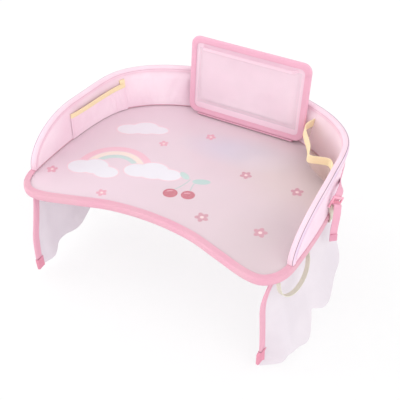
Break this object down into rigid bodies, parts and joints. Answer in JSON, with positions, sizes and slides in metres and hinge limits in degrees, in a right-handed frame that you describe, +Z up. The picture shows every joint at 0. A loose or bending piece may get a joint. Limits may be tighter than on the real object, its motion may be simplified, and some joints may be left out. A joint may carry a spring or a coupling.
{
  "type": "car seat tray table",
  "caption": "Padded lap tray for a child seat: raised fabric wall, inner pockets, fold-down clear phone holder, hanging side wings and a belt with a ladder lock.",
  "frame": {"origin": "on the tray's underside, between the left and right widest points, 131 mm behind the foremost edge of the tray's front corners", "axes": "+X to the child's right, +Y away from the child towards the back wall, +Z up, away from the lap"},
  "size_m": [0.446, 0.3418, 0.2939],
  "materials": {
    "pale_cloth": "plain woven underside cloth and seam tape",
    "board": "flat stiff plastic board, hidden",
    "printed_cloth": "printed cloth in pale pink",
    "clear_film": "clear glossy soft film",
    "pink_tape": "woven binding tape",
    "wall_cloth": "soft woven cloth with light puckers",
    "foam": "soft padding, hidden",
    "hem_tape": "woven binding tape, stitched",
    "yellow_elastic": "ribbed elastic tape",
    "pocket_mesh": "fine net cloth",
    "cream_elastic": "ribbed elastic tape",
    "loop_pile": "looped pile tape",
    "holder_cloth": "plain woven cloth",
    "wing_cloth": "pale soft cloth",
    "pink_webbing": "narrow woven webbing",
    "dark_webbing": "narrow woven webbing, folded and stitched",
    "pink_plastic": "moulded, semi-gloss"
  },
  "bodies": {
    "tray": {"tray_underside_fabric": "pale_cloth", "tray_core_board": "board", "tray_print_sheet": "printed_cloth", "tray_clear_film": "clear_film", "tray_edge_binding": "pink_tape", "wall_lining": "wall_cloth", "wall_foam_core": "foam", "wall_cover": "wall_cloth", "wall_hem_tape": "hem_tape", "pocket_left_panel": "wall_cloth", "pocket_left_elastic": "yellow_elastic", "pocket_left_tab": "yellow_elastic", "pocket_right_panel": "pocket_mesh", "pocket_right_elastic": "yellow_elastic", "holder_loop_strip": "loop_pile", "holder_hook_flap": "pink_tape", "holder_fold_bead": "pink_tape", "wing_right_seam_tape": "pale_cloth", "wing_left_seam_tape": "pale_cloth", "belt_ladder_lock": "pink_plastic", "belt_lock_tab": "cream_elastic", "belt_strap": "pink_webbing", "belt_end_patch": "pink_webbing"},
    "holder": {"holder_board": "board", "holder_front_fabric": "holder_cloth", "holder_back_fabric": "holder_cloth", "holder_edge_binding": "pink_tape", "holder_clear_window": "clear_film", "holder_window_tape": "pink_tape"},
    "wing_right": {"wing_right_panel": "wing_cloth", "wing_right_front_binding": "pink_tape", "wing_right_binding_end": "pink_tape", "wing_right_hem_bead": "wing_cloth"},
    "wing_left": {"wing_left_panel": "wing_cloth", "wing_left_front_binding": "pink_tape", "wing_left_binding_end": "pink_tape", "wing_left_hem_bead": "wing_cloth"},
    "corner_loop": {"corner_elastic_loop": "cream_elastic"},
    "belt_tail": {"belt_tail": "pink_webbing", "belt_tail_fold": "dark_webbing"}
  },
  "joints": [
    {"name": "holder_fold", "type": "hinge", "parent": "tray", "child": "holder", "pos_m": [0.013, 0.1575, 0.0113], "axis": [1, 0, 0], "range_deg": [0, 80]},
    {"name": "wing_fold_right", "type": "hinge", "parent": "tray", "child": "wing_right", "pos_m": [0.186, -0.125, -0.0042], "axis": [0.0937, 0.9956, 0], "range_deg": [-15, 85]},
    {"name": "wing_fold_left", "type": "hinge", "parent": "tray", "child": "wing_left", "pos_m": [-0.186, -0.125, -0.0042], "axis": [0.0937, -0.9956, 0], "range_deg": [-45, 85]},
    {"name": "corner_loop_swing", "type": "hinge", "parent": "tray", "child": "corner_loop", "pos_m": [0.20112, -0.11292, -0.00215], "axis": [-0.1426, -0.9898, 0], "range_deg": [0, 60]},
    {"name": "belt_tail_swing", "type": "hinge", "parent": "tray", "child": "belt_tail", "pos_m": [0.22, 0.01667, 0.03644], "axis": [-0.766, -0.6428, 0], "range_deg": [0, 80]}
  ]
}
